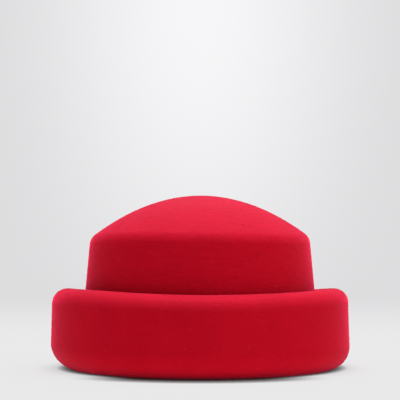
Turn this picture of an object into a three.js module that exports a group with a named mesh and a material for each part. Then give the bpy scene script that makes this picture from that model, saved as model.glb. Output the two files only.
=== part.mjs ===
// Cloche hat of stiff blocked felt: a crown with a domed tip, and a tall turned-up brim with a rolled edge.
// Sizes are in millimetres. +Z is up and the front of the hat faces -Y.
// The hat stands on its brim, and the origin is on the table under the middle of the brim.

import * as THREE from "three";

// The felt and the head that it fits
const FELT = 2.5; // thickness of the wall
const HEAD_WIDTH = 164.5; // inside, temple to temple, at the head line
const HEAD_LENGTH = 198.5; // inside, brow to back, at the head line
const BROW_NARROWING = 0.02; // share by which the oval is narrower at the brow, and wider at the back

// Crown, measured on its outer face
const HAT_HEIGHT = 119.9; // table to the top of the dome
const TIP_EDGE_HEIGHT = 90.4; // table to the corner where the dome and the side wall meet
const TIP_EDGE_RADIUS = 10.5; // rounding of that corner
const SIDE_FLARE = THREE.MathUtils.degToRad(5.4); // lean of the side wall, wider towards the head line

// Brim, measured on its outer face
const BRIM_WIDTH = 207.9; // side to side, at its widest
const CUFF_HEIGHT = 55; // table to the top of the roll, at the sides of the hat
const CUFF_TILT = 3; // rise of the roll at the front, and fall at the back
const CUFF_SAG = 4.1; // fall of the roll at front and back alike
const CUFF_LEAN = THREE.MathUtils.degToRad(1.4); // lean of the cuff's wall, narrower towards the roll
const FOLD_RADIUS = 4.2; // fold at the head line, on the side of the head
const BOTTOM_RADIUS = 17; // bend from the table up into the cuff
const RESTING_PRESS = 0.25; // how far that bend is pressed flat where the hat rests
const ROLL_RADIUS = 11.4; // roll along the top of the cuff
const ROLL_TURN = THREE.MathUtils.degToRad(122); // turn of the felt in the roll, up to its cut edge

// Seam, where the cut edges of crown and brim are sewn edge to edge inside the hat
const SEAM_HEIGHT = 8;
const SEAM_GAP = 0.3;

// Fineness of the facets
const FACETS_ROUND = 64;
const STEPS = { dome: 9, tipEdge: 5, side: 2, fold: 4, bottom: 8, roll: 9 };

const FELT_RED = 0xb00d22;

// Worked out from the driving dimensions
const HEADING_OUT = 0;
const HEADING_UP = Math.PI / 2;
const HEADING_SIDE = SIDE_FLARE - Math.PI / 2; // down the side wall of the crown
const HEADING_CUFF = HEADING_UP + CUFF_LEAN; // up the cuff
const OVAL_REACH = (HEAD_LENGTH - HEAD_WIDTH) / 2; // how much further the oval reaches to front and back
const HEAD_LINE = FOLD_RADIUS * (1 - Math.sin(SIDE_FLARE)); // height where the side wall turns into the fold

// A station is a place on the felt in the hat's section: half-width r, height z, and the heading in which
// the felt runs on, from outwards (0) round to upwards (a quarter turn). The left of the heading is the face
// that looks up on the dome, out on the crown's side wall, and into the trough between crown and cuff.
const leftOf = (heading) => ({ r: -Math.sin(heading), z: Math.cos(heading) });

// Stations on a round bend about a centre. The felt turns left where the heading grows, else right.
function bend(centre, radius, from, to, steps) {
  const arm = radius * Math.sign(to - from);
  return Array.from({ length: steps + 1 }, (_, i) => {
    const heading = from + ((to - from) * i) / steps;
    const left = leftOf(heading);
    return { r: centre.r - arm * left.r, z: centre.z - arm * left.z, heading };
  });
}

// Stations on a straight run between two others, without its ends.
function run(start, end, steps) {
  return Array.from({ length: steps - 1 }, (_, i) => {
    const share = (i + 1) / steps;
    return {
      r: THREE.MathUtils.lerp(start.r, end.r, share),
      z: THREE.MathUtils.lerp(start.z, end.z, share),
      heading: start.heading,
    };
  });
}

// The station on the inside of the side wall at a height.
function insideOfSide(height) {
  return {
    r: HEAD_WIDTH / 2 - (height - HEAD_LINE) * Math.tan(SIDE_FLARE),
    z: height,
    heading: HEADING_SIDE,
  };
}

// The station on the outside of the side wall, straight across the felt from one on its inside.
function outsideOfSide(height) {
  const inside = insideOfSide(height);
  const left = leftOf(HEADING_SIDE);
  return { r: inside.r + FELT * left.r, z: inside.z + FELT * left.z, heading: HEADING_SIDE };
}

// Outer face of the crown, from the top of the dome to the seam.
function crownStations() {
  const seam = outsideOfSide(SEAM_HEIGHT + SEAM_GAP / 2);
  const corner = {
    r: seam.r - (TIP_EDGE_HEIGHT - seam.z) * Math.tan(SIDE_FLARE),
    z: TIP_EDGE_HEIGHT,
  };
  // The dome is a parabola from its top through that corner.
  const domeRadius = corner.r ** 2 / (2 * (HAT_HEIGHT - corner.z));
  const domeHeading = (r) => -Math.atan(r / domeRadius);
  const cutBack = TIP_EDGE_RADIUS * Math.tan((domeHeading(corner.r) - HEADING_SIDE) / 2);
  const domeEnd = corner.r - cutBack * Math.cos(domeHeading(corner.r));
  const dome = Array.from({ length: STEPS.dome }, (_, i) => {
    const r = (domeEnd * i) / STEPS.dome;
    return { r, z: HAT_HEIGHT - r ** 2 / (2 * domeRadius), heading: domeHeading(r) };
  });
  const left = leftOf(HEADING_SIDE);
  const tipEdgeCentre = {
    r: corner.r + cutBack * Math.cos(HEADING_SIDE) - TIP_EDGE_RADIUS * left.r,
    z: corner.z + cutBack * Math.sin(HEADING_SIDE) - TIP_EDGE_RADIUS * left.z,
  };
  const tipEdge = bend(tipEdgeCentre, TIP_EDGE_RADIUS, domeHeading(domeEnd), HEADING_SIDE, STEPS.tipEdge);
  const side = run(tipEdge.at(-1), seam, STEPS.side);
  // The oval is drawn out in full down the side wall, and less and less towards the top of the dome.
  return [...dome, ...tipEdge, ...side, seam].map((station) => ({
    ...station,
    reach: OVAL_REACH * Math.min(1, station.r / domeEnd),
    lift: 0,
  }));
}

// Outer face of the brim: from the seam down inside the hat, out along the table, up the cuff, over the roll.
function brimStations() {
  const seam = insideOfSide(SEAM_HEIGHT - SEAM_GAP / 2);
  const foldCentre = { r: HEAD_WIDTH / 2 + FOLD_RADIUS * Math.cos(SIDE_FLARE), z: FOLD_RADIUS };
  const fold = bend(foldCentre, FOLD_RADIUS, HEADING_SIDE, HEADING_OUT, STEPS.fold);
  const bottomCentre = { r: BRIM_WIDTH / 2 - BOTTOM_RADIUS, z: BOTTOM_RADIUS - RESTING_PRESS };
  const pressedHeading = Math.acos(1 - RESTING_PRESS / BOTTOM_RADIUS);
  const bottom = bend(bottomCentre, BOTTOM_RADIUS, pressedHeading, HEADING_CUFF, STEPS.bottom);
  const cuffStart = bottom.at(-1);
  const rollStartHeight = CUFF_HEIGHT - ROLL_RADIUS * (1 - Math.sin(CUFF_LEAN));
  const rollStart = cuffStart.r - (rollStartHeight - cuffStart.z) * Math.tan(CUFF_LEAN);
  const rollCentre = { r: rollStart - ROLL_RADIUS * Math.cos(CUFF_LEAN), z: CUFF_HEIGHT - ROLL_RADIUS };
  const roll = bend(rollCentre, ROLL_RADIUS, HEADING_CUFF, HEADING_CUFF + ROLL_TURN, STEPS.roll);
  // The roll rises and falls as a whole, and the straight cuff below it takes that up.
  const foot = [seam, ...fold, ...bottom].map((station) => ({ ...station, lift: 0 }));
  const rim = roll.map((station) => ({ ...station, lift: 1 }));
  return [...foot, ...rim].map((station) => ({ ...station, reach: OVAL_REACH }));
}

// Section of the felt: its right face from the first station to the last, and its left face back again.
// The thickness goes to the left or the right of the stations.
function feltSection(stations, { left, right }) {
  const face = (offset) =>
    stations.map((station) => {
      const normal = leftOf(station.heading);
      return { ...station, r: station.r + offset * normal.r, z: station.z + offset * normal.z };
    });
  return [...face(-right), ...face(left).reverse()];
}

// Rise of the roll against its height at the sides. Forward is 1 at the front and -1 at the back.
const rollRise = (forward) => CUFF_TILT * forward - CUFF_SAG * forward ** 2;

// Turns a section round the hat's axis and draws it out to the oval of the head.
function turnedFelt(section) {
  const outline = section.map(({ r, z }) => new THREE.Vector2(r, z));
  const geometry = new THREE.LatheGeometry(outline, FACETS_ROUND);
  const position = geometry.getAttribute("position");
  for (let index = 0; index < position.count; index++) {
    const { r, z, reach, lift } = section[index % section.length];
    const facet = Math.floor(index / section.length) % FACETS_ROUND;
    const turn = (2 * Math.PI * facet) / FACETS_ROUND;
    const forward = Math.cos(turn);
    position.setXYZ(
      index,
      r * Math.sin(turn) * (1 - BROW_NARROWING * forward),
      -(r + reach) * forward,
      z + lift * rollRise(forward),
    );
  }
  geometry.computeVertexNormals();
  return geometry;
}

function feltMaterial() {
  return new THREE.MeshStandardMaterial({ color: FELT_RED, roughness: 0.95, metalness: 0 });
}

function crown() {
  const section = feltSection(crownStations(), { left: 0, right: FELT });
  const mesh = new THREE.Mesh(turnedFelt(section), feltMaterial());
  mesh.name = "crown";
  return mesh;
}

function brim() {
  const section = feltSection(brimStations(), { left: FELT, right: 0 });
  section.push(section[0]); // the brim is a ring, so its section closes on itself
  const mesh = new THREE.Mesh(turnedFelt(section), feltMaterial());
  mesh.name = "brim";
  return mesh;
}

const hat = new THREE.Group();
hat.name = "cloche_hat";
hat.add(crown(), brim());

export default hat;
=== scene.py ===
"""Looks of a cloche hat of blocked red felt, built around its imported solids.

Sizes are in metres, +Z is up and the front of the hat faces -Y. The felt of crown and brim is a section
turned round the oval of the head. The stitches of the seam and the loose fibres of the nap are set on it
afterwards.
"""

import math
from typing import NamedTuple

import bpy
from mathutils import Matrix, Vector


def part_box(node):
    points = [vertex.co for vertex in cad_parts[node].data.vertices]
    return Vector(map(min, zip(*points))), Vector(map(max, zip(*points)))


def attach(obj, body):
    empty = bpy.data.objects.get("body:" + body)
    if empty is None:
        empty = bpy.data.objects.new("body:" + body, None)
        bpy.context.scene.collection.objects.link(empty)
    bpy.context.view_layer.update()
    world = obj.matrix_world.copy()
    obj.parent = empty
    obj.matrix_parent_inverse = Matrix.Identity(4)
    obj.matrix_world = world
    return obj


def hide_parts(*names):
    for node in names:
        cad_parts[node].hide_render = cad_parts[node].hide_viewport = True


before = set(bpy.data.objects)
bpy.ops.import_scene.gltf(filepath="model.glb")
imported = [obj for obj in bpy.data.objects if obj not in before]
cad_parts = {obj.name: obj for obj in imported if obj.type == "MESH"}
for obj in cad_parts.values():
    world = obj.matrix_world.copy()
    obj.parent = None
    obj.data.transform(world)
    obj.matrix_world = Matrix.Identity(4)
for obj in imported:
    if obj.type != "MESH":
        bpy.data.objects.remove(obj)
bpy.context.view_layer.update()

MM = 0.001


class Fullness(NamedTuple):
    """How far the felt stands proud of its rule on either side of the hat and at its front."""

    left: float = 0.0
    right: float = 0.0
    front: float = 0.0

    def part(self, share):
        return Fullness(self.left * share, self.right * share, self.front * share)

    def plus(self, other):
        return Fullness(self.left + other.left, self.right + other.right, self.front + other.front)


class Grain(NamedTuple):
    """How strongly each kind of mottling shows in the felt."""

    clouds: float
    tufts: float
    nap: float
    brushing: float


# Felt and seam
FELT = 2.5 * MM
CUT_EDGE_ROUNDING = 0.7 * MM
SEAM_HEIGHT = 8 * MM
SEAM_GAP = 0.3 * MM

# Crown, on its outer face
crown_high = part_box("crown")[1]
HAT_HEIGHT = crown_high.z
TIP_EDGE_HEIGHT = 90.4 * MM
TIP_EDGE_RADIUS = 10.5 * MM
TIP_TILT = 0.6 * MM
TIP_TWIST = 0.8 * MM
SIDE_FLARE = math.radians(5.4)
HEAD_HALF_WIDTH = crown_high.x - FELT * math.cos(SIDE_FLARE)

# Brim, on its outer face
brim_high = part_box("brim")[1]
BRIM_HALF_WIDTH = brim_high.x
CUFF_HEIGHT = 55 * MM
CUFF_TILT = 3 * MM
CUFF_SAG = 4.3 * MM
CUFF_TWIST = 0.4 * MM
CUFF_LEAN = math.radians(1.4)
FOLD_RADIUS = 4.2 * MM
BOTTOM_RADIUS = 17 * MM
RESTING_PRESS = 0.25 * MM
ROLL_RADIUS = 11.4 * MM
ROLL_TURN = math.radians(122)

# Oval of the head
OVAL_REACH = brim_high.y - brim_high.x
BROW_NARROWING = 0.02

# Hand-blocked unevenness of the felt
UNEVENNESS = 0.35 * MM
UNEVENNESS_SPREAD = 75 * MM
UNEVENNESS_DETAIL = 1.0
DOME_FULLNESS = Fullness(left=-0.6 * MM, right=0.3 * MM)
BOTTOM_FULLNESS = Fullness(left=-0.6 * MM, right=0.9 * MM)
ROLL_FULLNESS = Fullness(left=0.15 * MM, right=0.8 * MM)
ROLL_FLAT = Fullness(front=-0.7 * MM)
ROLL_FLAT_HEADING = math.radians(155)
ROLL_FLAT_SPREAD = math.radians(20)
FRONT_FOCUS = 4.0

# Fineness of the felt meshes
FACETS_ROUND = 192
DOME_STEPS = 26
TIP_EDGE_STEPS = 12
SIDE_STEPS = 14
COLLAR_STEPS = 2
FOLD_STEPS = 8
BOTTOM_STEPS = 16
CUFF_STEPS = 10
ROLL_STEPS = 22
CUT_EDGE_STEPS = 6

WELD_DISTANCE = 0.001 * MM

# Headings along the felt in the hat's section
OUTWARDS = 0.0
DOWN_THE_SIDE = SIDE_FLARE - math.pi / 2
UP_THE_CUFF = math.pi / 2 + CUFF_LEAN

# Stitches of the seam
STITCHES = 118
STITCH_HEIGHT = 3.6 * MM
STITCH_SLANT = 1.1 * MM
STITCH_BULGE = 1.3 * MM
THREAD_RADIUS = 0.27 * MM
STITCH_STEPS = 5
STITCH_SIDES = 6

# Loose fibres of the nap
FIBRES_TO_SQUARE_METRE = 21000.0
FIBRE_LENGTH = 2.2 * MM
FIBRE_RADIUS = 0.06 * MM
FIBRE_CURL = 0.8 * MM
FIBRE_LIFT = 0.3 * MM
FIBRE_SINK = 0.1 * MM
FIBRE_SCALES = (0.5, 1.3)
FIBRE_STEPS = 4
FIBRE_SIDES = 3
CROWN_NAP_FROM = 14 * MM
BRIM_NAP_FROM = 3 * MM
CROWN_NAP_SEED = 4
BRIM_NAP_SEED = 9

# Camera, fitted to the photograph's view of the hat
VIEW_DISTANCE = 1.21
VIEW_HEIGHT = 87.2 * MM
VIEW_TILT = math.radians(1.4)
SENSOR = 36.0
LENS = 155.6

# Felt colours and sheen
FELT_DARK = (0.354, 0.0017, 0.0081, 1)
FELT_LIGHT = (0.459, 0.0033, 0.0132, 1)
# Painted sheen and highlight: colour added to the felt where it looks upwards, standing in for the light
# from above
CROWN_PAINTED_SHEEN = (0.0, 0.0051, 0.0136)
BRIM_PAINTED_SHEEN = (0.027, 0.0064, 0.0144)
FELT_GLOSS = 0.011
FELT_GLOSS_COLOUR = (0.8, 0.45, 1.0, 1)
FELT_ROUGHNESS = (0.57, 0.73)
FELT_SHEEN = 0.64
FELT_SHEEN_SOFTNESS = 0.29
FELT_SHEEN_COLOUR = (1.0, 0.04, 0.136, 1)

# Grain of the felt
CLOUD_SIZE = 22 * MM
TUFT_SIZE = 2.4 * MM
NAP_SIZE = 0.67 * MM
BRUSH_LENGTH = 11 * MM
BRUSH_WIDTH = 1.3 * MM
TOP_BRUSH_WIDTH = 2.8 * MM
CROWN_SHADES = Grain(clouds=0.3, tufts=0.4, nap=0.4, brushing=0.85)
CROWN_RELIEF = Grain(clouds=0.0, tufts=0.5, nap=0.5, brushing=0.6)
BRIM_SHADES = Grain(clouds=0.5, tufts=0.45, nap=0.45, brushing=0.25)
BRIM_RELIEF = Grain(clouds=0.0, tufts=0.5, nap=0.35, brushing=0.25)
TOP_GRAIN = Grain(clouds=1.2, tufts=2.9, nap=5.0, brushing=0.6)
GRAIN_DETAIL = 2.0
GRAIN_ROUGHNESS = 0.5
TUFT_DETAIL = 3.0
FIBROUS_ROUGHNESS = 0.6
MIDDLE_SHADE = 0.5
RELIEF_STRENGTH = 0.35
RELIEF_DEPTH = 0.6 * MM

# Thread and loose wool
THREAD_DARK = (0.25, 0.002, 0.007, 1)
THREAD_LIGHT = (0.43, 0.007, 0.019, 1)
THREAD_ROUGHNESS = 0.55
THREAD_SHEEN = 0.1
PLY_WAVES = 900.0
PLY_UNEVENNESS = 1.5
PLY_STRENGTH = 0.4
PLY_DEPTH = 0.1 * MM
WOOL_DARK = (0.15, 0.001, 0.004, 1)
WOOL_LIGHT = (0.72, 0.019, 0.055, 1)
WOOL_SPREAD = (0.41, 0.57)
WOOL_ROUGHNESS = 0.6
WOOL_SHEEN = 0.5

# Studio
OVERHEAD_PLACE = (0.01, 0.01, 1.4)
OVERHEAD_SIZE = 0.6
OVERHEAD_POWER = 23.9
BACK_PLACE = (0, 0.9, 0.8)
BACK_SIZE = 0.6
BACK_POWER = 2.6
SIDE_PLACE = (2.6, -1.3, 0.31)
SIDE_SIZE = 1.0
SIDE_POWER = 6.3
PALE = (0.985, 0.985, 1.0, 1)
FLOOR_COLOUR = (0.10, 0.10, 0.10, 1)
FLOOR_ROUGHNESS = 1.0
FLOOR_GLOSS = 0.0
FLOOR_GLOW = 0.63
FLOOR_LIGHT = 1.27
FLOOR_FADE_START = 0.35
FLOOR_FADE_END = 3.0
CONTACT_SHADE_WIDTH = 5 * MM
LIGHT_SHADE_WIDTH = 8 * MM
FRONT_SHADE_WIDTH = 27 * MM
FRONT_SHADE_FROM = (0.0, 0.95, 0.31)
FRONT_SHADE_BEARING = (-0.72, -0.95)
FRONT_SHADE_DARK = 0.52
FRONT_SHADE_CLEAR = 0.97
SHADE_SAMPLES = 8
SURROUND_LIGHT = 0.56
SURROUND_LEAN = (0.36, 0.19, 0.31)
SURROUND_SLANT = -0.15
BACKDROP = 0.735
BACKDROP_GLOW = 0.935
BACKDROP_GLOW_PLACE = (0.0, 0.99, 0.13)
BACKDROP_GLOW_SPREAD = (0.135, 1.0, 0.25)


class Station(NamedTuple):
    """A place on one face of the felt, in the hat's section."""

    r: float  # half-width of the hat
    z: float  # height above the table
    heading: float  # which way the felt runs on: 0 is outwards, a quarter turn is upwards
    reach: float = OVAL_REACH  # how much further the oval reaches to front and back
    lift: float = 0.0  # share of the rise and fall of the roll or of the tip's edge
    fuller: Fullness = Fullness()


class FeltPoint(NamedTuple):
    """A point of the felt's section, with what turning it round the head needs."""

    half_width: float
    height: float
    reach: float
    lift: float
    fuller_left: float
    fuller_right: float
    fuller_front: float
    out: float  # how far the felt's outer face looks outwards
    up: float  # how far the felt's outer face looks upwards
    strokes: float  # brush strokes counted along the felt


def left_of(heading):
    """The direction to the left of a heading: the face of the felt that looks up on the dome."""
    return -math.sin(heading), math.cos(heading)


def bend(centre_r, centre_z, radius, start, end, steps):
    """Stations on a round bend. The felt turns left where the heading grows, else right."""
    arm = math.copysign(radius, end - start)
    stations = []
    for step in range(steps + 1):
        heading = start + (end - start) * step / steps
        out, up = left_of(heading)
        stations.append(Station(centre_r - arm * out, centre_z - arm * up, heading))
    return stations


def straight(start, end, steps):
    """Stations on a straight run between two others, without its ends."""
    stations = []
    for step in range(1, steps):
        share = step / steps
        r = start.r + (end.r - start.r) * share
        z = start.z + (end.z - start.z) * share
        stations.append(Station(r, z, start.heading))
    return stations


def ahead(station, distance):
    """The station moved on along its heading."""
    r = station.r + distance * math.cos(station.heading)
    z = station.z + distance * math.sin(station.heading)
    return station._replace(r=r, z=z)


def squared(stations, fullness):
    """The stations of an outer bend with a fullness that is greatest where the felt runs slantwise."""
    filled = []
    for station in stations:
        share = abs(math.sin(2 * station.heading)) if station.heading < math.pi else 0.0
        filled.append(station._replace(fuller=fullness.part(share)))
    return filled


def flattened(stations, flat, heading, spread):
    """The stations with a soft flat in the bend, where the felt runs near a heading."""
    pressed = []
    for station in stations:
        share = math.exp(-(((station.heading - heading) / spread) ** 2))
        pressed.append(station._replace(fuller=station.fuller.plus(flat.part(share))))
    return pressed


def crown_stations():
    """Outer face of the crown, from the top of the dome to the rounding of its cut edge."""
    foot_height = SEAM_HEIGHT + SEAM_GAP / 2 + FELT * math.sin(SIDE_FLARE)
    foot = Station(crown_high.x, foot_height, DOWN_THE_SIDE)
    corner_r = foot.r - (TIP_EDGE_HEIGHT - foot.z) * math.tan(SIDE_FLARE)
    dome_radius = corner_r**2 / (2 * (HAT_HEIGHT - TIP_EDGE_HEIGHT))
    corner = Station(corner_r, TIP_EDGE_HEIGHT, -math.atan(corner_r / dome_radius))
    cut_back = TIP_EDGE_RADIUS * math.tan((corner.heading - DOWN_THE_SIDE) / 2)
    dome_end = ahead(corner, -cut_back).r
    dome = []
    for step in range(DOME_STEPS):
        share = step / DOME_STEPS
        r = dome_end * share
        z = HAT_HEIGHT - r**2 / (2 * dome_radius)
        heading = -math.atan(r / dome_radius)
        dome.append(Station(r, z, heading, lift=share**2, fuller=DOME_FULLNESS.part(share)))
    side_top = ahead(corner._replace(heading=DOWN_THE_SIDE), cut_back)
    out, up = left_of(DOWN_THE_SIDE)
    tip_edge = bend(
        side_top.r - TIP_EDGE_RADIUS * out,
        side_top.z - TIP_EDGE_RADIUS * up,
        TIP_EDGE_RADIUS,
        -math.atan(dome_end / dome_radius),
        DOWN_THE_SIDE,
        TIP_EDGE_STEPS,
    )
    for step, station in enumerate(tip_edge):
        tip_edge[step] = station._replace(lift=1.0, fuller=DOME_FULLNESS.part(1 - step / TIP_EDGE_STEPS))
    side_end = ahead(foot, -CUT_EDGE_ROUNDING)
    side = straight(side_top, side_end, SIDE_STEPS)
    side = [station._replace(lift=1 - step / SIDE_STEPS) for step, station in enumerate(side, 1)]
    stations = [*dome, *tip_edge, *side, side_end]
    return [station._replace(reach=OVAL_REACH * min(1, station.r / dome_end)) for station in stations]


def brim_stations():
    """Outer face of the brim: down inside the hat, out along the table, up the cuff and over the roll."""
    seam_height = SEAM_HEIGHT - SEAM_GAP / 2
    collar_top = Station(HEAD_HALF_WIDTH + SEAM_GAP * math.tan(SIDE_FLARE), seam_height, DOWN_THE_SIDE)
    collar_top = ahead(collar_top, CUT_EDGE_ROUNDING)
    head_line = FOLD_RADIUS * (1 - math.sin(SIDE_FLARE))
    head_line_r = collar_top.r + (collar_top.z - head_line) * math.tan(SIDE_FLARE)
    fold_r = head_line_r + FOLD_RADIUS * math.cos(SIDE_FLARE)
    fold = bend(fold_r, FOLD_RADIUS, FOLD_RADIUS, DOWN_THE_SIDE, OUTWARDS, FOLD_STEPS)
    collar = straight(collar_top, fold[0], COLLAR_STEPS)
    bottom = bend(
        BRIM_HALF_WIDTH - BOTTOM_RADIUS,
        BOTTOM_RADIUS - RESTING_PRESS,
        BOTTOM_RADIUS,
        math.acos(1 - RESTING_PRESS / BOTTOM_RADIUS),
        UP_THE_CUFF,
        BOTTOM_STEPS,
    )
    bottom = squared(bottom, BOTTOM_FULLNESS)
    cuff_start = bottom[-1]
    roll_start_height = CUFF_HEIGHT - ROLL_RADIUS * (1 - math.sin(CUFF_LEAN))
    roll_start_r = cuff_start.r - (roll_start_height - cuff_start.z) * math.tan(CUFF_LEAN)
    roll = bend(
        roll_start_r - ROLL_RADIUS * math.cos(CUFF_LEAN),
        CUFF_HEIGHT - ROLL_RADIUS,
        ROLL_RADIUS,
        UP_THE_CUFF,
        UP_THE_CUFF + ROLL_TURN - CUT_EDGE_ROUNDING / ROLL_RADIUS,
        ROLL_STEPS,
    )
    cuff = straight(cuff_start, roll[0], CUFF_STEPS)
    cuff = [station._replace(lift=step / CUFF_STEPS) for step, station in enumerate(cuff, 1)]
    roll = flattened(squared(roll, ROLL_FULLNESS), ROLL_FLAT, ROLL_FLAT_HEADING, ROLL_FLAT_SPREAD)
    roll = [station._replace(lift=1.0) for station in roll]
    return [collar_top, *collar, *fold, *bottom, *cuff, *roll]


def felt_section(stations, left, right, ends_cut):
    """Section of the felt: its right face, the rounded cut edge at its end, and its left face back again.

    The felt lies to the left and to the right of the stations by these shares of its thickness. Where
    both of its ends are cut, the section closes with a cut edge at its start too."""
    outer_side = right - left
    middle = FELT * (left - right) / 2
    strokes = [0.0]
    for before, after in zip(stations, stations[1:]):
        level = abs(math.cos(before.heading))
        width = BRUSH_WIDTH + (TOP_BRUSH_WIDTH - BRUSH_WIDTH) * level
        strokes.append(strokes[-1] + math.hypot(after.r - before.r, after.z - before.z) / width)

    def point(index, across, along=0.0):
        station = ahead(stations[index], along)
        out, up = left_of(station.heading)
        return FeltPoint(
            half_width=station.r + across * out,
            height=station.z + across * up,
            reach=station.reach,
            lift=station.lift,
            fuller_left=station.fuller.left,
            fuller_right=station.fuller.right,
            fuller_front=station.fuller.front,
            out=out * outer_side,
            up=up * outer_side,
            strokes=strokes[index],
        )

    turns = [math.pi * (step / CUT_EDGE_STEPS - 0.5) for step in range(1, CUT_EDGE_STEPS)]
    count = len(stations)
    points = [point(index, -FELT * right) for index in range(count)]
    for turn in turns:
        across = middle + FELT / 2 * math.sin(turn)
        points.append(point(count - 1, across, CUT_EDGE_ROUNDING * math.cos(turn)))
    points += [point(index, FELT * left) for index in reversed(range(count))]
    if ends_cut:
        for turn in reversed(turns):
            across = middle + FELT / 2 * math.sin(turn)
            points.append(point(0, across, -CUT_EDGE_ROUNDING * math.cos(turn)))
    return points


def section_mesh(name, points, closed):
    """The section as a chain of edges that carries each point's values."""
    count = len(points)
    edges = [(index, index + 1) for index in range(count - 1)]
    if closed:
        edges.append((count - 1, 0))
    mesh = bpy.data.meshes.new(name)
    mesh.from_pydata([(point.half_width, 0, point.height) for point in points], edges, [])
    for field in FeltPoint._fields:
        values = mesh.attributes.new(field, "FLOAT", "POINT")
        values.data.foreach_set("value", [getattr(point, field) for point in points])
    return mesh


class Nodes:
    """Adds nodes to a node tree, with values or links for their inputs."""

    def __init__(self, tree):
        self.tree = tree

    def add(self, kind, inputs=None, **settings):
        """A new node with its inputs fed and its settings set."""
        made = self.tree.nodes.new(kind)
        for name, value in settings.items():
            setattr(made, name, value)
        for name, value in (inputs or {}).items():
            self.feed(made.inputs[name], value)
        return made

    def feed(self, socket, value):
        """Links another node's output to a socket, or sets a plain value on it."""
        if isinstance(value, bpy.types.NodeSocket):
            self.tree.links.new(value, socket)
        else:
            socket.default_value = value

    def maths(self, operation, *values, clamp=False):
        made = self.add("ShaderNodeMath", operation=operation, use_clamp=clamp)
        for socket, value in zip(made.inputs, values):
            self.feed(socket, value)
        return made.outputs["Value"]

    def vector(self, x, y, z):
        return self.add("ShaderNodeCombineXYZ", {"X": x, "Y": y, "Z": z}).outputs["Vector"]

    def noise(self, vector, scale, detail=GRAIN_DETAIL, roughness=GRAIN_ROUGHNESS):
        inputs = {"Vector": vector, "Scale": scale, "Detail": detail, "Roughness": roughness}
        return self.add("ShaderNodeTexNoise", inputs).outputs["Fac"]

    def shaded(self, value, dark, light, spread=(0.0, 1.0)):
        """Colours from dark to light as a value grows over a spread."""
        made = self.add("ShaderNodeValToRGB", {"Fac": value})
        for element, colour, position in zip(made.color_ramp.elements, (dark, light), spread):
            element.color = colour
            element.position = position
        return made.outputs["Color"]


class ShapeTree(Nodes):
    """A Geometry Nodes tree with named inputs, which ends in a plain mesh with a material."""

    def __init__(self, name, inputs):
        super().__init__(bpy.data.node_groups.new(name, "GeometryNodeTree"))
        sockets = self.tree.interface
        sockets.new_socket("Geometry", in_out="INPUT", socket_type="NodeSocketGeometry")
        for label, kind in inputs.items():
            sockets.new_socket(label, in_out="INPUT", socket_type="NodeSocket" + kind)
        sockets.new_socket("Geometry", in_out="OUTPUT", socket_type="NodeSocketGeometry")
        self.given = self.tree.nodes.new("NodeGroupInput").outputs

    def attribute(self, name):
        made = self.add("GeometryNodeInputNamedAttribute", {"Name": name}, data_type="FLOAT")
        return made.outputs["Attribute"]

    def random_number(self, lowest, highest, seed):
        made = self.add("FunctionNodeRandomValue", {"Seed": seed}, data_type="FLOAT")
        numbers = [socket for socket in made.inputs if socket.enabled and socket.type == "VALUE"]
        self.feed(numbers[0], lowest)
        self.feed(numbers[1], highest)
        return next(socket for socket in made.outputs if socket.enabled)

    def strand(self, start, middle, end, radius, steps, sides):
        """A short bent length of thread or fibre."""
        path = self.add(
            "GeometryNodeCurveQuadraticBezier",
            {"Resolution": steps, "Start": start, "Middle": middle, "End": end},
        )
        outline = self.add(
            "GeometryNodeCurvePrimitiveCircle",
            {"Resolution": sides, "Radius": radius},
            mode="RADIUS",
        )
        skin = self.add(
            "GeometryNodeCurveToMesh",
            {
                "Curve": path.outputs["Curve"],
                "Profile Curve": outline.outputs["Curve"],
                "Fill Caps": True,
            },
        )
        return skin.outputs["Mesh"]

    def end(self, geometry, material):
        """Ends the tree in a smooth, real mesh of one material."""
        smooth = self.add("GeometryNodeSetShadeSmooth", {"Geometry": geometry})
        real = self.add("GeometryNodeRealizeInstances", {"Geometry": smooth.outputs["Geometry"]})
        finish = self.add(
            "GeometryNodeSetMaterial",
            {"Geometry": real.outputs["Geometry"], "Material": material},
        )
        result = self.tree.nodes.new("NodeGroupOutput")
        self.tree.links.new(finish.outputs["Geometry"], result.inputs["Geometry"])


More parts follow.
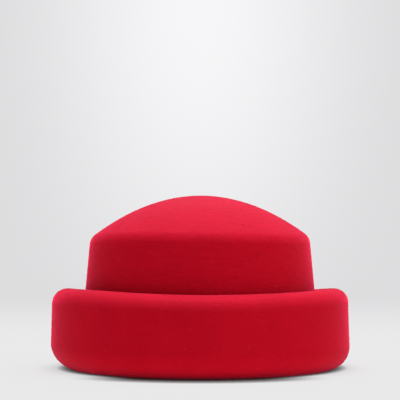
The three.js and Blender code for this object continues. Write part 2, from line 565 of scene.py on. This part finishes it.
def turning_tree():
    """Turns a felt section round the oval of the head."""
    tree = ShapeTree(
        "turn the felt round the head",
        {
            "Facets Round": "Int",
            "Brow Narrowing": "Float",
            "Tilt": "Float",
            "Sag": "Float",
            "Twist": "Float",
            "Unevenness": "Float",
            "Unevenness Spread": "Float",
            "Bottom Radius": "Float",
            "Front Focus": "Float",
            "Weld Distance": "Float",
            "Felt": "Material",
        },
    )
    given = tree.given
    section = tree.add("GeometryNodeMeshToCurve", {"Mesh": given["Geometry"]})
    ring = tree.add(
        "GeometryNodeCurvePrimitiveCircle",
        {"Resolution": given["Facets Round"]},
        mode="RADIUS",
    )
    index = tree.add("GeometryNodeInputIndex").outputs["Index"]
    share = tree.maths("DIVIDE", index, given["Facets Round"])
    angle = tree.maths("MULTIPLY", share, 2 * math.pi)
    turned = tree.add(
        "GeometryNodeStoreNamedAttribute",
        {"Geometry": ring.outputs["Curve"], "Name": "turn", "Value": angle},
        data_type="FLOAT",
        domain="POINT",
    )
    skin = tree.add(
        "GeometryNodeCurveToMesh",
        {"Curve": turned.outputs["Geometry"], "Profile Curve": section.outputs["Curve"]},
    )
    turn = tree.attribute("turn")
    forward = tree.maths("COSINE", turn)
    sideways = tree.maths("SINE", turn)
    backward = tree.maths("MULTIPLY", forward, -1.0)
    half_width = tree.attribute("half_width")
    height = tree.attribute("height")
    narrowing = tree.maths("MULTIPLY_ADD", backward, given["Brow Narrowing"], 1.0)
    across = tree.maths("MULTIPLY", tree.maths("MULTIPLY", half_width, sideways), narrowing)
    along = tree.maths("MULTIPLY", tree.maths("ADD", half_width, tree.attribute("reach")), backward)
    tilt = tree.maths("MULTIPLY", given["Tilt"], forward)
    sag = tree.maths("MULTIPLY", given["Sag"], tree.maths("POWER", forward, 2.0))
    twist = tree.maths("MULTIPLY", given["Twist"], tree.maths("SINE", tree.maths("MULTIPLY", turn, 2.0)))
    rise = tree.maths("SUBTRACT", tilt, tree.maths("ADD", sag, twist))
    looking_up = tree.maths("MULTIPLY_ADD", tree.attribute("lift"), rise, height)
    place = tree.vector(across, along, looking_up)
    # The felt keeps flat where it rests, and grows uneven above that.
    free = tree.maths("DIVIDE", height, given["Bottom Radius"], clamp=True)
    waves = tree.maths("DIVIDE", 1.0, given["Unevenness Spread"])
    wave = tree.noise(place, waves, detail=UNEVENNESS_DETAIL)
    sway = tree.maths("MULTIPLY", tree.maths("MULTIPLY_ADD", wave, 2.0, -1.0), given["Unevenness"])
    right = tree.maths("MAXIMUM", sideways, 0.0)
    left = tree.maths("MAXIMUM", tree.maths("MULTIPLY", sideways, -1.0), 0.0)
    front = tree.maths("POWER", tree.maths("MAXIMUM", forward, 0.0), given["Front Focus"])
    fullness = tree.maths("MULTIPLY", tree.attribute("fuller_right"), right)
    fullness = tree.maths("MULTIPLY_ADD", tree.attribute("fuller_left"), left, fullness)
    fullness = tree.maths("MULTIPLY_ADD", tree.attribute("fuller_front"), front, fullness)
    sway = tree.maths("MULTIPLY_ADD", sway, free, fullness)
    sway_out = tree.maths("MULTIPLY", sway, tree.attribute("out"))
    swayed_up = tree.maths("MULTIPLY_ADD", sway, tree.attribute("up"), looking_up)
    swayed = tree.vector(
        tree.maths("MULTIPLY_ADD", sway_out, sideways, across),
        tree.maths("MULTIPLY_ADD", sway_out, backward, along),
        tree.maths("MAXIMUM", swayed_up, 0.0),
    )
    shaped = tree.add("GeometryNodeSetPosition", {"Geometry": skin.outputs["Mesh"], "Position": swayed})
    closed = tree.add(
        "GeometryNodeMergeByDistance",
        {"Geometry": shaped.outputs["Geometry"], "Distance": given["Weld Distance"]},
    )
    outwards = tree.add("GeometryNodeFlipFaces", {"Mesh": closed.outputs["Geometry"]})
    tree.end(outwards.outputs["Mesh"], given["Felt"])
    return tree.tree


def sewing_tree():
    """Sets slanted stitches along a seam."""
    tree = ShapeTree(
        "sew along the seam",
        {
            "Stitches": "Int",
            "Stitch Height": "Float",
            "Stitch Slant": "Float",
            "Stitch Bulge": "Float",
            "Thread Radius": "Float",
            "Thread": "Material",
        },
    )
    given = tree.given
    seam = tree.add("GeometryNodeMeshToCurve", {"Mesh": given["Geometry"]})
    spaced = tree.add(
        "GeometryNodeResampleCurve",
        {"Curve": seam.outputs["Curve"], "Count": given["Stitches"]},
    )
    tangent = tree.add("GeometryNodeInputTangent").outputs["Tangent"]
    facing = tree.add("FunctionNodeAlignRotationToVector", {"Vector": tangent}, axis="X")
    slant = tree.maths("DIVIDE", given["Stitch Slant"], 2.0)
    height = tree.maths("DIVIDE", given["Stitch Height"], 2.0)
    stitch = tree.strand(
        tree.vector(tree.maths("MULTIPLY", slant, -1.0), 0.0, tree.maths("MULTIPLY", height, -1.0)),
        tree.vector(0.0, given["Stitch Bulge"], 0.0),
        tree.vector(slant, 0.0, height),
        given["Thread Radius"],
        STITCH_STEPS,
        STITCH_SIDES,
    )
    sewn = tree.add(
        "GeometryNodeInstanceOnPoints",
        {"Points": spaced.outputs["Curve"], "Instance": stitch, "Rotation": facing.outputs["Rotation"]},
    )
    tree.end(sewn.outputs["Instances"], given["Thread"])
    return tree.tree


def nap_tree():
    """Strews loose bent fibres over a felt."""
    tree = ShapeTree(
        "strew fibres over the felt",
        {
            "Fibres to Square Metre": "Float",
            "Nap From": "Float",
            "Fibre Length": "Float",
            "Fibre Radius": "Float",
            "Fibre Curl": "Float",
            "Fibre Lift": "Float",
            "Fibre Sink": "Float",
            "Smallest": "Float",
            "Largest": "Float",
            "Seed": "Int",
            "Wool": "Material",
        },
    )
    given = tree.given
    place = tree.add("GeometryNodeInputPosition").outputs["Position"]
    height = tree.add("ShaderNodeSeparateXYZ", {"Vector": place}).outputs["Z"]
    strewn = tree.add(
        "GeometryNodeDistributePointsOnFaces",
        {
            "Mesh": given["Geometry"],
            "Selection": tree.maths("GREATER_THAN", height, given["Nap From"]),
            "Density": given["Fibres to Square Metre"],
            "Seed": given["Seed"],
        },
    )
    half_length = tree.maths("DIVIDE", given["Fibre Length"], 2.0)
    sunk = tree.maths("MULTIPLY", given["Fibre Sink"], -1.0)
    fibre = tree.strand(
        tree.vector(tree.maths("MULTIPLY", half_length, -1.0), 0.0, sunk),
        tree.vector(0.0, given["Fibre Curl"], given["Fibre Lift"]),
        tree.vector(half_length, 0.0, sunk),
        given["Fibre Radius"],
        FIBRE_STEPS,
        FIBRE_SIDES,
    )
    spin = tree.add(
        "FunctionNodeRandomValue",
        {"Min": (0, 0, 0), "Max": (0, 0, 2 * math.pi), "Seed": given["Seed"]},
        data_type="FLOAT_VECTOR",
    )
    spun = tree.add("FunctionNodeEulerToRotation", {"Euler": spin.outputs["Value"]})
    facing = tree.add(
        "FunctionNodeRotateRotation",
        {"Rotation": strewn.outputs["Rotation"], "Rotate By": spun.outputs["Rotation"]},
        rotation_space="LOCAL",
    )
    scale = tree.random_number(given["Smallest"], given["Largest"], given["Seed"])
    laid = tree.add(
        "GeometryNodeInstanceOnPoints",
        {
            "Points": strewn.outputs["Points"],
            "Instance": fibre,
            "Rotation": facing.outputs["Rotation"],
            "Scale": scale,
        },
    )
    tree.end(laid.outputs["Instances"], given["Wool"])
    return tree.tree


def made_piece(name, start, tree, settings):
    """A piece grown from a start mesh by a Geometry Nodes tree, kept as a plain mesh."""
    piece = bpy.data.objects.new(name, start)
    bpy.context.scene.collection.objects.link(piece)
    modifier = piece.modifiers.new(tree.name, "NODES")
    modifier.node_group = tree
    for item in tree.interface.items_tree:
        if item.in_out == "INPUT" and item.name in settings:
            modifier[item.identifier] = settings[item.name]
    depsgraph = bpy.context.evaluated_depsgraph_get()
    mesh = bpy.data.meshes.new_from_object(piece.evaluated_get(depsgraph), depsgraph=depsgraph)
    piece.modifiers.remove(modifier)
    piece.data = mesh
    mesh.name = name
    return piece


# Materials


def plain_material(name):
    """A material with its nodes and its surface shader."""
    material = bpy.data.materials.new(name)
    material.use_nodes = True
    return material, Nodes(material.node_tree), material.node_tree.nodes["Principled BSDF"]


def mottled(nodes, shares, noises):
    """Noises added up by their shares, around a middle shade."""
    total = MIDDLE_SHADE
    for share, noise in zip(shares, noises):
        total = nodes.maths("MULTIPLY_ADD", nodes.maths("SUBTRACT", noise, MIDDLE_SHADE), share, total)
    return total


def red_felt(name, shades, relief, painted_sheen):
    """Brushed wool felt: fine fibres, mottling, brushing round the hat, a sheen, and a painted pinkish
    sheen and highlight on the faces that look upwards.
    """
    material, nodes, shader = plain_material(name)
    place = nodes.add("ShaderNodeTexCoord").outputs["Object"]
    strokes = nodes.add("ShaderNodeAttribute", attribute_name="strokes").outputs["Fac"]
    spread = nodes.add("ShaderNodeSeparateXYZ", {"Vector": place}).outputs
    brushed = nodes.vector(
        nodes.maths("DIVIDE", spread["X"], BRUSH_LENGTH),
        nodes.maths("DIVIDE", spread["Y"], BRUSH_LENGTH),
        strokes,
    )
    noises = Grain(
        clouds=nodes.noise(place, 1 / CLOUD_SIZE),
        tufts=nodes.noise(place, 1 / TUFT_SIZE, detail=TUFT_DETAIL, roughness=FIBROUS_ROUGHNESS),
        nap=nodes.noise(place, 1 / NAP_SIZE, roughness=FIBROUS_ROUGHNESS),
        brushing=nodes.noise(brushed, 1.0),
    )
    # The nap stands up and shows its grain most where the felt looks upwards.
    up = nodes.add("ShaderNodeAttribute", attribute_name="up").outputs["Fac"]
    looking_up = nodes.maths("MAXIMUM", up, 0.0)
    shares = []
    for share, more in zip(shades, TOP_GRAIN):
        shares.append(nodes.maths("MULTIPLY_ADD", looking_up, share * more, share))
    colours = nodes.shaded(mottled(nodes, shares, noises), FELT_DARK, FELT_LIGHT)
    smoothest, roughest = FELT_ROUGHNESS
    rough = nodes.add(
        "ShaderNodeMapRange",
        {"Value": noises.nap, "To Min": smoothest, "To Max": roughest},
    )
    bump = nodes.add(
        "ShaderNodeBump",
        {"Height": mottled(nodes, relief, noises), "Strength": RELIEF_STRENGTH, "Distance": RELIEF_DEPTH},
    )
    # Painted sheen and highlight: a pinkish colour is added where the felt looks upwards, as if lit from
    # above.
    sheen_painted_colour = nodes.add(
        "ShaderNodeVectorMath",
        {0: looking_up, 1: painted_sheen, 2: colours},
        operation="MULTIPLY_ADD",
    )
    nodes.feed(shader.inputs["Base Color"], sheen_painted_colour.outputs["Vector"])
    nodes.feed(shader.inputs["Roughness"], rough.outputs["Result"])
    nodes.feed(shader.inputs["Normal"], bump.outputs["Normal"])
    shader.inputs["Specular IOR Level"].default_value = FELT_GLOSS
    shader.inputs["Specular Tint"].default_value = FELT_GLOSS_COLOUR
    shader.inputs["Sheen Weight"].default_value = FELT_SHEEN
    shader.inputs["Sheen Roughness"].default_value = FELT_SHEEN_SOFTNESS
    shader.inputs["Sheen Tint"].default_value = FELT_SHEEN_COLOUR
    return material


def red_thread():
    """Sewing thread of the seam, a little darker than the felt, with the twist of its plies."""
    material, nodes, shader = plain_material("red sewing thread")
    place = nodes.add("ShaderNodeTexCoord").outputs["Object"]
    twist = nodes.add(
        "ShaderNodeTexWave",
        {"Vector": place, "Scale": PLY_WAVES, "Distortion": PLY_UNEVENNESS},
        bands_direction="DIAGONAL",
    ).outputs["Fac"]
    colours = nodes.shaded(twist, THREAD_DARK, THREAD_LIGHT)
    bump = nodes.add("ShaderNodeBump", {"Height": twist, "Strength": PLY_STRENGTH, "Distance": PLY_DEPTH})
    nodes.feed(shader.inputs["Base Color"], colours)
    nodes.feed(shader.inputs["Normal"], bump.outputs["Normal"])
    shader.inputs["Roughness"].default_value = THREAD_ROUGHNESS
    shader.inputs["Sheen Weight"].default_value = THREAD_SHEEN
    return material


def loose_wool():
    """Loose wool fibres, some darker and some lighter than the felt that they lie on."""
    material, nodes, shader = plain_material("loose red wool")
    place = nodes.add("ShaderNodeTexCoord").outputs["Object"]
    colours = nodes.shaded(nodes.noise(place, 1 / FIBRE_LENGTH), WOOL_DARK, WOOL_LIGHT, WOOL_SPREAD)
    nodes.feed(shader.inputs["Base Color"], colours)
    shader.inputs["Roughness"].default_value = WOOL_ROUGHNESS
    shader.inputs["Specular IOR Level"].default_value = FELT_GLOSS
    shader.inputs["Sheen Weight"].default_value = WOOL_SHEEN
    shader.inputs["Sheen Tint"].default_value = FELT_SHEEN_COLOUR
    return material


# Pieces of the hat


def felt_piece(name, node, section, closed, edge, tree, felt):
    """One felt shell, which stands for a solid of the frame."""
    start = section_mesh(name + " section", section, closed)
    piece = made_piece(
        name,
        start,
        tree,
        {
            "Facets Round": FACETS_ROUND,
            "Brow Narrowing": BROW_NARROWING,
            **edge,
            "Unevenness": UNEVENNESS,
            "Unevenness Spread": UNEVENNESS_SPREAD,
            "Bottom Radius": BOTTOM_RADIUS,
            "Front Focus": FRONT_FOCUS,
            "Weld Distance": WELD_DISTANCE,
            "Felt": felt,
        },
    )
    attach(piece, "root")
    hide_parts(node)
    return piece


def seam_stitches(tree, thread):
    """Stitches across the seam between crown and brim, on the inside of the hat."""
    points = []
    for facet in range(FACETS_ROUND):
        turn = 2 * math.pi * facet / FACETS_ROUND
        forward = math.cos(turn)
        across = HEAD_HALF_WIDTH * math.sin(turn) * (1 - BROW_NARROWING * forward)
        points.append((across, -(HEAD_HALF_WIDTH + OVAL_REACH) * forward, SEAM_HEIGHT))
    path = bpy.data.meshes.new("seam path")
    path.from_pydata(points, [(index, (index + 1) % FACETS_ROUND) for index in range(FACETS_ROUND)], [])
    piece = made_piece(
        "seam_stitches",
        path,
        tree,
        {
            "Stitches": STITCHES,
            "Stitch Height": STITCH_HEIGHT,
            "Stitch Slant": STITCH_SLANT,
            "Stitch Bulge": STITCH_BULGE,
            "Thread Radius": THREAD_RADIUS,
            "Thread": thread,
        },
    )
    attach(piece, "root")
    return piece


def loose_nap(name, felt, lowest, seed, tree, wool):
    """Loose fibres that lie on a felt shell, above a lowest height."""
    piece = made_piece(
        name,
        felt.data.copy(),
        tree,
        {
            "Fibres to Square Metre": FIBRES_TO_SQUARE_METRE,
            "Nap From": lowest,
            "Fibre Length": FIBRE_LENGTH,
            "Fibre Radius": FIBRE_RADIUS,
            "Fibre Curl": FIBRE_CURL,
            "Fibre Lift": FIBRE_LIFT,
            "Fibre Sink": FIBRE_SINK,
            "Smallest": FIBRE_SCALES[0],
            "Largest": FIBRE_SCALES[1],
            "Seed": seed,
            "Wool": wool,
        },
    )
    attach(piece, "root")
    return piece


# Studio


def studio_floor():
    """Pale glowing light table that fades into the surroundings, with painted shade in its glow close to
    the hat.
    """
    half = FLOOR_FADE_END
    corners = [(-half, -half, 0), (half, -half, 0), (half, half, 0), (-half, half, 0)]
    mesh = bpy.data.meshes.new("studio floor")
    mesh.from_pydata(corners, [], [(0, 1, 2, 3)])
    floor = bpy.data.objects.new("studio_floor", mesh)
    bpy.context.scene.collection.objects.link(floor)
    material, nodes, shader = plain_material("pale studio floor")
    place = nodes.add("ShaderNodeTexCoord").outputs["Object"]

    def open_share(inputs):
        """How much of the space over the floor is open, within a distance."""
        made = nodes.add("ShaderNodeAmbientOcclusion", inputs, samples=SHADE_SAMPLES)
        return made.outputs["AO"]

    # Painted contact shade: the glow is dimmed where the hat is near, both in the picture and in the
    # light that the table gives.
    contact_shade = open_share({"Distance": CONTACT_SHADE_WIDTH})
    light_shade = open_share({"Distance": LIGHT_SHADE_WIDTH})
    before = open_share({"Distance": FRONT_SHADE_WIDTH, "Normal": nodes.vector(*FRONT_SHADE_FROM)})
    distance = nodes.add("ShaderNodeVectorMath", {0: place}, operation="LENGTH").outputs["Value"]
    direction = nodes.add("ShaderNodeVectorMath", {0: place}, operation="NORMALIZE").outputs["Vector"]
    bearing = nodes.add("ShaderNodeSeparateXYZ", {"Vector": direction}).outputs["Y"]
    front = nodes.add(
        "ShaderNodeMapRange",
        {"Value": bearing, "From Min": FRONT_SHADE_BEARING[0], "From Max": FRONT_SHADE_BEARING[1]},
        interpolation_type="SMOOTHSTEP",
    ).outputs["Result"]
    seen = nodes.add("ShaderNodeLightPath").outputs["Is Camera Ray"]
    # The shade in front of the hat shows in the picture alone, and takes no light from the hat.
    before = nodes.add(
        "ShaderNodeMapRange",
        {"Value": before, "From Min": FRONT_SHADE_DARK, "From Max": FRONT_SHADE_CLEAR},
    ).outputs["Result"]
    front_shade = nodes.maths("MULTIPLY_ADD", front, nodes.maths("SUBTRACT", before, 1.0), 1.0)
    shown = nodes.maths("MULTIPLY", nodes.maths("MULTIPLY", front_shade, contact_shade), FLOOR_GLOW)
    light = nodes.maths("MULTIPLY", light_shade, FLOOR_LIGHT)
    glow = nodes.maths("MULTIPLY_ADD", seen, nodes.maths("SUBTRACT", shown, light), light)
    shader.inputs["Base Color"].default_value = FLOOR_COLOUR
    shader.inputs["Emission Color"].default_value = PALE
    shader.inputs["Roughness"].default_value = FLOOR_ROUGHNESS
    shader.inputs["Specular IOR Level"].default_value = FLOOR_GLOSS
    nodes.feed(shader.inputs["Emission Strength"], glow)
    fade = nodes.add(
        "ShaderNodeMapRange",
        {"Value": distance, "From Min": FLOOR_FADE_START, "From Max": FLOOR_FADE_END},
        interpolation_type="SMOOTHSTEP",
    )
    clear = nodes.add("ShaderNodeBsdfTransparent")
    mix = nodes.add(
        "ShaderNodeMixShader",
        {0: fade.outputs["Result"], 1: shader.outputs["BSDF"], 2: clear.outputs["BSDF"]},
    )
    nodes.feed(material.node_tree.nodes["Material Output"].inputs["Surface"], mix.outputs["Shader"])
    mesh.materials.append(material)


def surroundings():
    """Soft light, brighter on the right, behind and above, and a pale backdrop with a glow."""
    world = bpy.data.worlds.new("pale surroundings")
    bpy.context.scene.world = world
    world.use_nodes = True
    nodes = Nodes(world.node_tree)
    background = world.node_tree.nodes["Background"]
    direction = nodes.add("ShaderNodeTexCoord").outputs["Generated"]
    lean = nodes.add(
        "ShaderNodeVectorMath",
        {0: direction, 1: SURROUND_LEAN},
        operation="DOT_PRODUCT",
    ).outputs["Value"]
    # On the right the light comes from lower down than on the left.
    parts = nodes.add("ShaderNodeSeparateXYZ", {"Vector": direction}).outputs
    slant = nodes.maths("MULTIPLY", parts["X"], parts["Z"])
    light = nodes.maths("MULTIPLY_ADD", slant, SURROUND_SLANT, nodes.maths("ADD", lean, SURROUND_LIGHT))
    from_glow = nodes.add(
        "ShaderNodeMapping",
        {"Vector": direction, "Location": BACKDROP_GLOW_PLACE, "Scale": BACKDROP_GLOW_SPREAD},
        vector_type="TEXTURE",
    )
    distance = nodes.add(
        "ShaderNodeVectorMath",
        {0: from_glow.outputs["Vector"]},
        operation="LENGTH",
    ).outputs["Value"]
    glow = nodes.add(
        "ShaderNodeMapRange",
        {"Value": distance, "To Min": BACKDROP_GLOW, "To Max": BACKDROP},
        interpolation_type="SMOOTHSTEP",
    )
    seen = nodes.add("ShaderNodeLightPath").outputs["Is Camera Ray"]
    backdrop = nodes.maths("SUBTRACT", glow.outputs["Result"], light)
    background.inputs["Color"].default_value = PALE
    nodes.feed(background.inputs["Strength"], nodes.maths("MULTIPLY_ADD", seen, backdrop, light))


def softbox(name, place, size, power):
    """Square soft light that faces the hat."""
    light = bpy.data.lights.new(name, "AREA")
    light.shape = "SQUARE"
    light.size = size
    light.energy = power
    lamp = bpy.data.objects.new(name, light)
    lamp.location = place
    lamp.rotation_mode = "QUATERNION"
    lamp.rotation_quaternion = Vector(place).to_track_quat("Z", "Y")
    bpy.context.scene.collection.objects.link(lamp)


def studio_camera():
    """Camera at the photograph's place and angle."""
    camera = bpy.data.objects.new("camera", bpy.data.cameras.new("camera"))
    camera.location = (0, -VIEW_DISTANCE, VIEW_HEIGHT)
    camera.rotation_euler = (math.pi / 2 + VIEW_TILT, 0, 0)
    camera.data.sensor_width = SENSOR
    camera.data.lens = LENS
    bpy.context.scene.collection.objects.link(camera)
    bpy.context.scene.camera = camera


turning = turning_tree()
crown_section = felt_section(crown_stations(), left=0, right=1, ends_cut=False)
crown_material = red_felt("brushed red crown felt", CROWN_SHADES, CROWN_RELIEF, CROWN_PAINTED_SHEEN)
tip_edge = {"Tilt": TIP_TILT, "Sag": 0.0, "Twist": TIP_TWIST}
crown_felt = felt_piece("crown_felt", "crown", crown_section, False, tip_edge, turning, crown_material)
brim_section = felt_section(brim_stations(), left=1, right=0, ends_cut=True)
brim_material = red_felt("smooth red brim felt", BRIM_SHADES, BRIM_RELIEF, BRIM_PAINTED_SHEEN)
rim = {"Tilt": CUFF_TILT, "Sag": CUFF_SAG, "Twist": CUFF_TWIST}
brim_felt = felt_piece("brim_felt", "brim", brim_section, True, rim, turning, brim_material)
seam_stitches(sewing_tree(), red_thread())

strewing = nap_tree()
wool = loose_wool()
loose_nap("crown_nap", crown_felt, CROWN_NAP_FROM, CROWN_NAP_SEED, strewing, wool)
loose_nap("brim_nap", brim_felt, BRIM_NAP_FROM, BRIM_NAP_SEED, strewing, wool)

studio_floor()
surroundings()
softbox("overhead softbox", OVERHEAD_PLACE, OVERHEAD_SIZE, OVERHEAD_POWER)
softbox("back softbox", BACK_PLACE, BACK_SIZE, BACK_POWER)
softbox("side softbox", SIDE_PLACE, SIDE_SIZE, SIDE_POWER)
studio_camera()
bpy.context.scene.view_settings.view_transform = "Standard"
